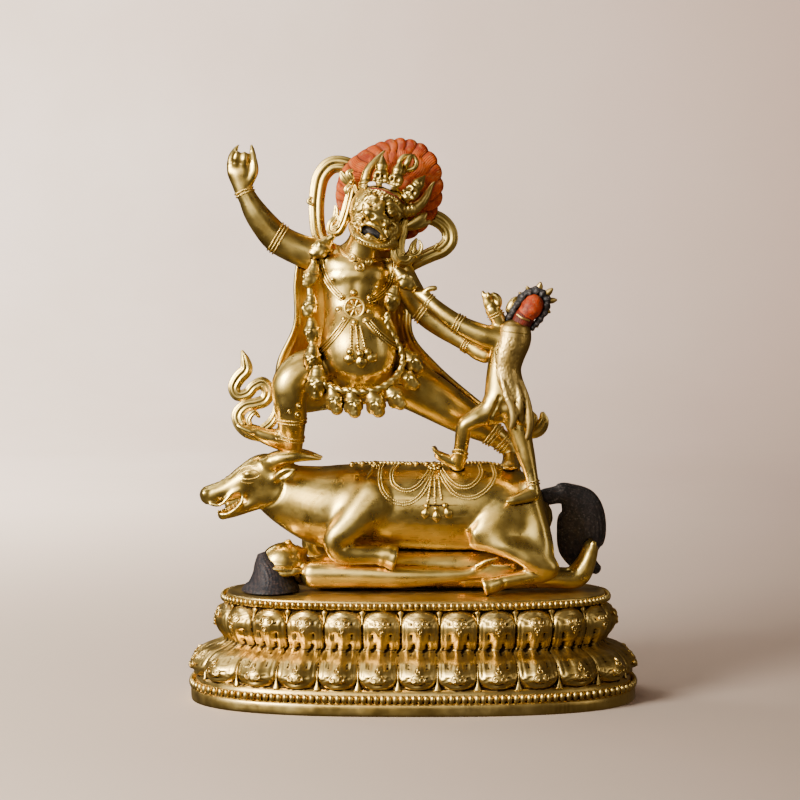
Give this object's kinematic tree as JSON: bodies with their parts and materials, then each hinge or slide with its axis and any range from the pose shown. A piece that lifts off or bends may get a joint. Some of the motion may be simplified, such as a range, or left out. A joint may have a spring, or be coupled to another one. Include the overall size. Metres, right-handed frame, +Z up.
{
  "type": "buddhist guardian figure group",
  "caption": "Gilt bronze figure group: a buffalo-headed guardian and his consort on a lying buffalo over a supine man, on an oval lotus base.",
  "frame": {"origin": "middle of the base's underside", "axes": "+Z up; +Y from the front to the back of the group, +X to the viewer's right"},
  "size_m": [0.259, 0.143, 0.3218],
  "materials": {
    "gilt_base": "mercury-gilt bronze, semi-polished, brown patina in the carving",
    "gilt_man": "mercury-gilt bronze, semi-polished, hair painted blue-black",
    "gilt_buffalo": "mercury-gilt bronze, polished, rubbed and pitted",
    "painted_tail": "black distemper over bronze, matt, worn on the strands",
    "gilt_yama": "mercury-gilt bronze, semi-polished, hair painted orange-red",
    "gilt_consort": "mercury-gilt bronze, semi-polished, hair painted orange-red"
  },
  "bodies": {
    "root": {"lotus_base": "gilt_base", "trampled_man": "gilt_man", "buffalo": "gilt_buffalo", "buffalo_tail": "painted_tail", "yama": "gilt_yama", "chamunda": "gilt_consort"}
  },
  "joints": []
}
